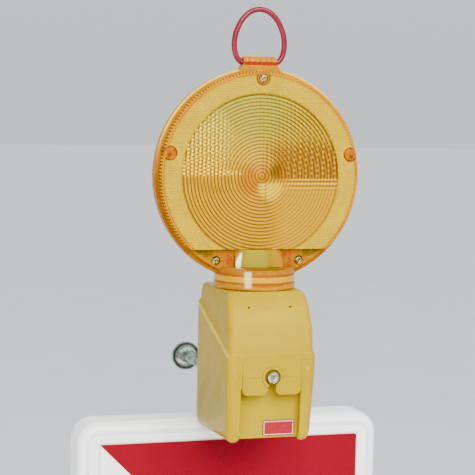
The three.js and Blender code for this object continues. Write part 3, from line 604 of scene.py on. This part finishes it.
def zinc_steel():
    """Zinc-plated steel. The round keeper behind the hood has a painted dark reflection round its edge and
    two painted highlight crescents.
    """
    s = Shader("zinc_steel", linear(190, 198, 194), 0.34, Metallic=0.95)
    mottled = s.mottled(180, 5, (0.3, linear(96, 110, 104)), (0.7, linear(176, 188, 180)))
    x, y, z = s.axes(middle("keeper_washer"), MM)
    r = s.away(x, z)
    here = s.rise(s.math("ABSOLUTE", y), 9.0, 7.0)
    # Painted reflection: a dark ring round the keeper's edge, then two bright crescents as painted
    # highlights.
    edge = s.product(s.rise(r, *KEEPER_DARK_REFLECTION), s.rise(r, *KEEPER_DARK_REFLECTION_END), here, 0.85)
    lower = s.product(s.within(s.away(x, z, -1.0, 2.4), 9.0, 11.0, 1.0), s.rise(z, -1.0, -5.0), here)
    upper = s.product(s.within(s.away(x, z, 1.0, -1.5), 8.6, 10.2, 0.8), s.rise(z, 3.0, 7.0), here, 0.8)
    dark_reflected = s.mix(edge, mottled, linear(30, 48, 44))
    shone = s.mix(lower, dark_reflected, linear(252, 255, 252))
    s.colour(s.mix(upper, shone, linear(226, 240, 236)))
    s.roughness(s.mottled(90, 5, (0.3, 0.22), (0.75, 0.45)))
    s.bump(s.noise(500, 3), 0.15, 0.0005)
    return s.material


def screw_steel():
    """Bright steel on the lock screw, and duller brassy steel on the lens screws above the hood."""
    s = Shader("screw_steel", linear(214, 206, 186), 0.2, Metallic=1.0)
    _, _, z = s.axes((0, 0, HOOD_Z), MM)
    bright = s.mottled(300, 4, (0.3, linear(120, 116, 100)), (0.65, linear(206, 202, 190)))
    brassy = s.mottled(500, 4, (0.35, linear(92, 80, 30)), (0.65, linear(190, 172, 104)))
    s.colour(s.mix(s.rise(z, *STEEL_CHANGE), bright, brassy))
    s.roughness(s.mottled(400, 4, (0.3, 0.14), (0.75, 0.32)))
    s.bump(s.noise(900, 2), 0.1, 0.0002)
    return s.material


def recycled_plastic():
    """Dark recycled plastic of the foot plate, flecked and dusty."""
    s = Shader("recycled_plastic", linear(52, 51, 48), 0.82)
    flecks = [(0.45, linear(40, 40, 38)), (0.62, linear(62, 60, 56)), (0.8, linear(96, 90, 80))]
    dust = s.mottled(6, 6, (0.45, 0.0), (0.8, 0.45))
    s.colour(s.mix(dust, s.mottled(240, 5, *flecks), linear(118, 110, 98)))
    s.roughness(s.mottled(50, 4, (0.3, 0.7), (0.8, 0.95)))
    s.bump(s.noise(160, 6), 0.5, 0.002)
    return s.material


def coated_wire():
    """Dark red plastic coating on the wire of the handle."""
    s = Shader("red_coated_wire", linear(108, 4, 26), 0.26, Specular_IOR_Level=0.25)
    s.colour(s.mottled(120, 4, (0.3, linear(94, 2, 24)), (0.7, linear(116, 8, 34))))
    s.roughness(s.mottled(200, 4, (0.3, 0.2), (0.8, 0.4)))
    s.bump(s.noise(700, 3), 0.1, 0.0003)
    return s.material


def red_label():
    """A plain red plate with a thin pale border and nothing printed on it."""
    s = Shader("red_label", linear(130, 0, 18), 0.25, Coat_Weight=0.2)
    half = (high("label_plate") - low("label_plate")) / (2 * MM)
    x, _, z = s.axes(middle("label_plate"), MM)
    side = s.math("SUBTRACT", half.x, s.math("ABSOLUTE", x))
    end = s.math("SUBTRACT", half.z, s.math("ABSOLUTE", z))
    border = s.within(s.math("MINIMUM", side, end), *LABEL_BORDER, 0.15)
    red = s.mottled(300, 3, (0.3, linear(122, 0, 12)), (0.7, linear(146, 2, 24)))
    s.colour(s.mix(s.product(border, 0.8), red, linear(226, 190, 190)))
    s.bump(s.noise(500, 3), 0.08, 0.0002)
    return s.material


def plain(name, colour, roughness, **sockets):
    """A small inner or hidden part: its own colour with a little mottling and grain."""
    s = Shader(name, colour, roughness, **sockets)
    dark = tuple(c * 0.8 for c in colour[:3]) + (1,)
    s.colour(s.mottled(200, 4, (0.35, dark), (0.7, colour)))
    s.roughness(s.mottled(200, 4, (0.3, roughness), (0.8, min(1.0, roughness + 0.15))))
    s.bump(s.noise(800, 3), 0.1, 0.0003)
    return s.material


MATERIALS = {
    "recycled_plastic": recycled_plastic(),
    "white_plastic": white_plastic(),
    "reflective_sheet": reflective_sheet(),
    "zinc_steel": zinc_steel(),
    "yellow_plastic": yellow_plastic(),
    "battery_case": plain("battery_case", linear(40, 84, 150), 0.35, Coat_Weight=0.4),
    "red_label": red_label(),
    "screw_steel": screw_steel(),
    "circuit_board": plain("circuit_board", linear(28, 96, 52), 0.4),
    "black_rubber": plain("black_rubber", linear(34, 34, 35), 0.75),
    "led_housing": plain("led_housing", linear(98, 92, 74), 0.35),
    "red_coated_wire": coated_wire(),
    "amber_lens": amber_plastic(),
    "reflex_yellow": reflex_yellow(),
}
RING_AMBER = ring_amber()

# ---------------------------------------------------------------- dressing the CAD nodes
EDGES = {"hood": 1.0 * MM, "battery_tray": 0.6 * MM, "board_body": 0.8 * MM, "foot_plate": 5 * MM}
ROUND_EDGE = 0.3 * MM  # of every other node
EDGE_SEGMENTS = 3
EDGE_ANGLE = 30  # degrees: sharper edges than this are rounded
FLAT_ANGLE = 0.5  # degrees: flatter edges than this are dissolved
WELD = 0.01 * MM


def dress_cad_nodes():
    """Every carried-over node gets its slot's material, rounded edges and smooth shading."""
    for part in frame["record"]["subparts"]:
        node = NODES[part["node"]]
        node.data.materials.clear()
        node.data.materials.append(MATERIALS[part["material_slot"]])
        soften(node, EDGES.get(part["node"], ROUND_EDGE))


def soften(obj, width):
    """Merges flat facets, rounds the edges between the rest, and shades what is left smoothly."""
    weld = obj.modifiers.new("weld", "WELD")
    weld.merge_threshold = WELD
    flat = obj.modifiers.new("flat", "DECIMATE")
    flat.decimate_type = "DISSOLVE"
    flat.angle_limit = math.radians(FLAT_ANGLE)
    bevel = obj.modifiers.new("edges", "BEVEL")
    bevel.width = width
    bevel.segments = EDGE_SEGMENTS
    bevel.limit_method = "ANGLE"
    bevel.angle_limit = math.radians(EDGE_ANGLE)
    bevel.harden_normals = False
    for polygon in obj.data.polygons:
        polygon.use_smooth = True
    smooth = obj.modifiers.new("normals", "WEIGHTED_NORMAL")
    smooth.keep_sharp = False


dress_cad_nodes()


# ---------------------------------------------------------------- pieces
def piece(name, shape, material, body, replaces=(), sharp=35):
    """Makes an object of a bmesh, shaded smoothly except across sharp edges, and rides it on a body."""
    bmesh.ops.recalc_face_normals(shape, faces=shape.faces)
    mesh = bpy.data.meshes.new(name)
    shape.to_mesh(mesh)
    shape.free()
    for polygon in mesh.polygons:
        polygon.use_smooth = True
    mesh.set_sharp_from_angle(angle=math.radians(sharp))
    mesh.materials.append(material)
    obj = bpy.data.objects.new(name, mesh)
    bpy.context.scene.collection.objects.link(obj)
    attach(obj, body)
    if replaces:
        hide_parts(*replaces)


def skin(shape, rows):
    """Joins closed rows of points into strips of faces, each row to the next."""
    made = [[shape.verts.new(point) for point in row] for row in rows]
    for near, far in zip(made, made[1:]):
        count = len(near)
        for i in range(count):
            shape.faces.new((near[i], near[(i + 1) % count], far[(i + 1) % count], far[i]))
    return made


def cap(shape, row):
    """Closes a row with a fan of triangles round its middle."""
    centre = shape.verts.new(sum((v.co for v in row), Vector()) / len(row))
    for i, vertex in enumerate(row):
        shape.faces.new((vertex, row[(i + 1) % len(row)], centre))


def smoothstep(value, start, end):
    t = min(1.0, max(0.0, (value - start) / (end - start)))
    return t * t * (3 - 2 * t)


# ---------------------------------------------------------------- ring lenses
RING_STEPS = ((0.02, 0.0), (0.34, 0.3), (0.7, 0.72), (0.97, 1.0))  # place and fall across one ring
RING_FALL = 0.8 * MM
RING_POINTS = 400  # round each ring
RING_END = 0.3 * MM  # least width of the last ring
DOME = 0.5  # share of the lens' thickness that is lost from its middle to its edge
FLUTE_DEPTH = 0.3 * MM
FLUTE_START = 3 * MM  # above the lens' middle, where the flutes reach their full depth


def ring_lens(end, outward):
    """A lens of sawtooth rings, crossed by upright flutes in its upper half and cut off level below."""
    node = "ring_lens_" + end
    base = high(node).y if outward < 0 else low(node).y
    crown = high(node).y - low(node).y
    radius = (high(node).x - low(node).x) / 2
    pitch = RING_PITCH * MM

    def point(r, angle, fall):
        x = r * math.cos(angle)
        z = r * math.sin(angle)
        wave = 0.5 - 0.5 * math.cos(2 * math.pi * x / (FLUTE_PITCH * MM))
        flute = FLUTE_DEPTH * wave * smoothstep(z, 0, FLUTE_START)
        height = crown - DOME * crown * (r / radius) ** 2 - RING_FALL * fall - flute
        return Vector((LAMP_X + x, base + outward * height, LENS_Z + z))

    def circle(r, fall):
        return [point(r, 2 * math.pi * i / RING_POINTS, fall) for i in range(RING_POINTS)]

    rings = range(int(radius / pitch) + 1)
    places = [((k + part) * pitch, fall) for k in rings for part, fall in RING_STEPS]
    rows = [circle(r, fall) for r, fall in places if r < radius - RING_END]
    rows.append(circle(radius, 1.0))
    rows.append([Vector((p.x, base, p.z)) for p in rows[-1]])
    shape = bmesh.new()
    made = skin(shape, rows)
    cap(shape, made[0])
    cap(shape, made[-1])
    cut_level(shape, low(node).z)
    piece(node + "_prisms", shape, RING_AMBER, "head", replaces=(node,), sharp=25)


def cut_level(shape, z):
    """Cuts a closed shape off below a level and closes the cut."""
    everything = shape.verts[:] + shape.edges[:] + shape.faces[:]
    bmesh.ops.bisect_plane(
        shape, geom=everything, plane_co=(0, 0, z), plane_no=(0, 0, -1), clear_outer=True,
    )
    bmesh.ops.edgeloop_fill(shape, edges=[edge for edge in shape.edges if edge.is_boundary])


# ---------------------------------------------------------------- reflex rings
CELL = 2.6 * MM  # from one reflector pyramid to the next
CELL_ROW = CELL * math.sqrt(0.75)  # from one row of pyramids to the next
CELL_REACH = 0.98 * CELL / math.sqrt(3)  # from a pyramid's middle to its corners
CELL_HEIGHT = 0.8 * MM
CELL_SINK = 0.05 * MM  # how deep a pyramid's foot lies under the face
OUTER_MARGIN = 0.45 * CELL  # from the middle of a pyramid to the ring's outer edge, at least
INNER_MARGIN = 0.55 * CELL  # and to its inner edge
MARGIN = 0.5 * CELL  # and to its level foot and the bosses
BOSS_RADIUS = 6.8 * MM
BOSS_SCREWS = ("lens_screw_top", "lens_screw_rear_left", "lens_screw_rear_right")


def reflex_ring(end, outward):
    """The reflector ring: the flat CAD ring, set with rows of small six-sided pyramids."""
    node = "reflex_ring_" + end
    face = low(node).y if outward < 0 else high(node).y
    foot = low(node).z + MARGIN
    outer = (high(node).x - low(node).x) / 2 - OUTER_MARGIN
    inner = (high("ring_lens_" + end).x - low("ring_lens_" + end).x) / 2 + INNER_MARGIN
    screws = [middle(name) - LENS_CENTRE for name in BOSS_SCREWS]
    shape = bmesh.new()
    shape.from_mesh(NODES[node].data)
    rows = int(outer / CELL_ROW) + 1
    for j in range(-rows, rows + 1):
        for i in range(-rows, rows + 1):
            x = (i + 0.5 * (j % 2)) * CELL
            z = j * CELL_ROW
            on_ring = inner < math.hypot(x, z) < outer and LENS_Z + z >= foot
            clear = all(math.hypot(x - b.x, z - b.z) >= BOSS_RADIUS + MARGIN for b in screws)
            if on_ring and clear:
                pyramid(shape, Vector((LAMP_X + x, face, LENS_Z + z)), outward)
    piece(
        node + "_prisms", shape, MATERIALS["reflex_yellow"], "head",
        replaces=(node,), sharp=10,
    )


def pyramid(shape, foot, outward):
    """A closed six-sided pyramid standing on a face, with its foot just under it."""
    ring = []
    for k in range(6):
        angle = math.radians(30 + 60 * k)
        corner = Vector((CELL_REACH * math.cos(angle), -outward * CELL_SINK, CELL_REACH * math.sin(angle)))
        ring.append(shape.verts.new(foot + corner))
    tip = shape.verts.new(foot + Vector((0, outward * CELL_HEIGHT, 0)))
    for k in range(6):
        shape.faces.new((ring[k], ring[(k + 1) % 6], tip))
    shape.faces.new(ring[::-1])


# ---------------------------------------------------------------- teeth round the drum
TOOTH = ((0.0, 0.0), (0.3, 0.0), (0.45, 1.0), (0.85, 1.0))  # place and rise across one tooth
BAND = {"inner": 90.4 * MM, "valley": 91.1 * MM, "peak": 92.0 * MM, "near": 5.4 * MM, "far": 12.9 * MM}
BAND_FROM, BAND_TO = -43.0, 223.0  # degrees round the drum, clear of the flanks


def tooth_band(end, outward):
    """A band of small teeth round the side wall of the drum."""
    first = int(BAND_FROM / 360 * TEETH)
    last = int(BAND_TO / 360 * TEETH)
    loops = []
    for k in range(first, last):
        for part, rise in TOOTH:
            angle = 2 * math.pi * (k + part) / TEETH
            r = BAND["valley"] + (BAND["peak"] - BAND["valley"]) * rise
            corners = (
                (BAND["inner"], BAND["near"]),
                (r, BAND["near"]),
                (r, BAND["far"]),
                (BAND["inner"], BAND["far"]),
            )
            loops.append([
                LENS_CENTRE + Vector((q * math.cos(angle), outward * y, q * math.sin(angle)))
                for q, y in corners
            ])
    shape = bmesh.new()
    made = skin(shape, loops)
    shape.faces.new(made[0])
    shape.faces.new(made[-1][::-1])
    piece("drum_teeth_" + end, shape, MATERIALS["amber_lens"], "head", sharp=20)


for end, outward in (("front", -1), ("rear", 1)):
    ring_lens(end, outward)
    reflex_ring(end, outward)
    tooth_band(end, outward)

# ---------------------------------------------------------------- handle
WIRE = (high("handle").y - low("handle").y) / 2
WIRE_SIDES = 20
LOOP_WIDTH = 23.3 * MM  # half the loop's width, at the middle of the wire
# One side of the loop, as shares of its half width and of its height, from the barrel to the top.
LOOP_SIDE = [
    (0.34, 0.0), (0.67, 0.0), (0.80, 0.036), (0.927, 0.128), (0.991, 0.257), (1.0, 0.375),
    (0.961, 0.514), (0.871, 0.642), (0.738, 0.771), (0.558, 0.878), (0.318, 0.964),
]
LOOP_STEPS = 12  # from one of these points to the next
SAME_POINT = 0.001 * MM


def handle():
    """The wire loop as one round closed bar, smooth all the way."""
    foot = low("handle").z + WIRE
    height = high("handle").z - WIRE - foot
    right = [Vector((LAMP_X + x * LOOP_WIDTH, LENS_Y, foot + z * height)) for x, z in LOOP_SIDE]
    left = [Vector((2 * LAMP_X - p.x, p.y, p.z)) for p in reversed(right)]
    line = smooth_loop(right + [Vector((LAMP_X, LENS_Y, foot + height))] + left)
    turns = [2 * math.pi * k / WIRE_SIDES for k in range(WIRE_SIDES)]
    out = Vector((0, 1, 0))
    rows = []
    for i, place in enumerate(line):
        along = (line[(i + 1) % len(line)] - line[i - 1]).normalized()
        across = along.cross(out)
        rows.append([place + WIRE * (math.cos(a) * out + math.sin(a) * across) for a in turns])
    shape = bmesh.new()
    skin(shape, rows + [rows[0]])
    bmesh.ops.remove_doubles(shape, verts=shape.verts, dist=SAME_POINT)
    wire = MATERIALS["red_coated_wire"]
    piece("handle_loop", shape, wire, "handle", replaces=("handle",))


def smooth_loop(points):
    """A closed Catmull-Rom curve through the points."""
    line = []
    count = len(points)
    for i in range(count):
        a, b, c, d = (points[(i + k) % count] for k in (-1, 0, 1, 2))
        square = 2 * a - 5 * b + 4 * c - d
        cube = 3 * b - a - 3 * c + d
        for step in range(LOOP_STEPS):
            t = step / LOOP_STEPS
            line.append(0.5 * (2 * b + (c - a) * t + square * t ** 2 + cube * t ** 3))
    return line


handle()

# ---------------------------------------------------------------- threaded bolt
BOLT_SIDES = 20
BOLT_HEAD = ((0, 4.5), (0, 6), (1.2, 8.6), (2.6, 8.6))  # millimetres from the near end, and radius
BOLT_TIP = ((1.0, 3.3), (0.0, 2.8))  # millimetres from the far end, and radius
THREAD_START = 2.65 * MM  # from the near end
THREAD_END = 1.2 * MM  # from the far end
THREAD_RADIUS = 4 * MM
THREAD_PITCH = 1.25 * MM
THREAD_DEPTH = 0.65 * MM


def threaded_bolt():
    """The long fixing bolt: a low round head in the tray and a screw thread to its far end."""
    centre = middle("clamp_nut")
    start = low("fixing_bolt").y
    end = high("fixing_bolt").y
    turns = [2 * math.pi * k / BOLT_SIDES for k in range(BOLT_SIDES)]

    def circle(y, radii):
        return [
            Vector((centre.x + r * math.cos(a), y, centre.z + r * math.sin(a)))
            for r, a in zip(radii, turns)
        ]

    def groove(y):
        shares = ((y / THREAD_PITCH + k / BOLT_SIDES) % 1 for k in range(BOLT_SIDES))
        return [THREAD_RADIUS - THREAD_DEPTH * abs(2 * share - 1) for share in shares]

    rows = [circle(start + y * MM, [r * MM] * BOLT_SIDES) for y, r in BOLT_HEAD]
    y = start + THREAD_START
    while y < end - THREAD_END:
        rows.append(circle(y, groove(y)))
        y += THREAD_PITCH / 4
    rows += [circle(end - y * MM, [r * MM] * BOLT_SIDES) for y, r in BOLT_TIP]
    shape = bmesh.new()
    made = skin(shape, rows)
    cap(shape, made[0])
    cap(shape, made[-1])
    zinc = MATERIALS["zinc_steel"]
    piece("fixing_bolt_thread", shape, zinc, "board", replaces=("fixing_bolt",))


threaded_bolt()

# ---------------------------------------------------------------- floor and light
FLOOR_REACH = 40  # metres from its middle to each side
HORIZON = (0.84, 0.88, 0.9, 1)
ZENITH = (1.25, 1.27, 1.3, 1)
SKY_STRENGTH = 1.0
SOFTBOXES = [  # name, place from the lens' centre, width and height, watts
    ("key", (0.3, -2.4, 1.4), (2.6, 1.8), 230),
    ("fill", (-2.0, -1.8, -0.3), (1.6, 1.6), 50),
    ("back", (0.4, 2.4, 1.6), (2.0, 1.2), 40),
]


def pale_floor():
    """A wide pale floor under the foot plate."""
    ground = bpy.data.meshes.new("floor")
    shape = bmesh.new()
    bmesh.ops.create_grid(shape, x_segments=1, y_segments=1, size=FLOOR_REACH)
    shape.to_mesh(ground)
    shape.free()
    floor = bpy.data.objects.new("floor", ground)
    bpy.context.scene.collection.objects.link(floor)
    paint = Shader("floor", (0.86, 0.87, 0.88, 1), 0.8, Specular_IOR_Level=0.1)
    paint.colour(paint.mottled(3, 3, (0.3, (0.85, 0.86, 0.87, 1)), (0.7, (0.88, 0.89, 0.9, 1))))
    ground.materials.append(paint.material)


def sky():
    """A world that is a little brighter overhead than at the horizon."""
    world = bpy.data.worlds.new("studio")
    bpy.context.scene.world = world
    world.use_nodes = True
    nodes = world.node_tree.nodes
    links = world.node_tree.links
    where = nodes.new("ShaderNodeTexCoord")
    split = nodes.new("ShaderNodeSeparateXYZ")
    fade = nodes.new("ShaderNodeValToRGB")
    links.new(where.outputs["Generated"], split.inputs[0])
    links.new(split.outputs[2], fade.inputs["Fac"])
    links.new(fade.outputs["Color"], nodes["Background"].inputs["Color"])
    for element, colour in zip(fade.color_ramp.elements, (HORIZON, ZENITH)):
        element.color = colour
    nodes["Background"].inputs["Strength"].default_value = SKY_STRENGTH


def softbox(name, offset, size, watts):
    """A flat rectangular light, turned towards the lens."""
    light = bpy.data.objects.new(name, bpy.data.lights.new(name, "AREA"))
    bpy.context.scene.collection.objects.link(light)
    light.data.shape = "RECTANGLE"
    light.data.size, light.data.size_y = size
    light.data.energy = watts
    light.location = LENS_CENTRE + Vector(offset)
    light.rotation_euler = (-Vector(offset)).to_track_quat("-Z", "Y").to_euler()


pale_floor()
sky()
for name, offset, size, watts in SOFTBOXES:
    softbox(name, offset, size, watts)
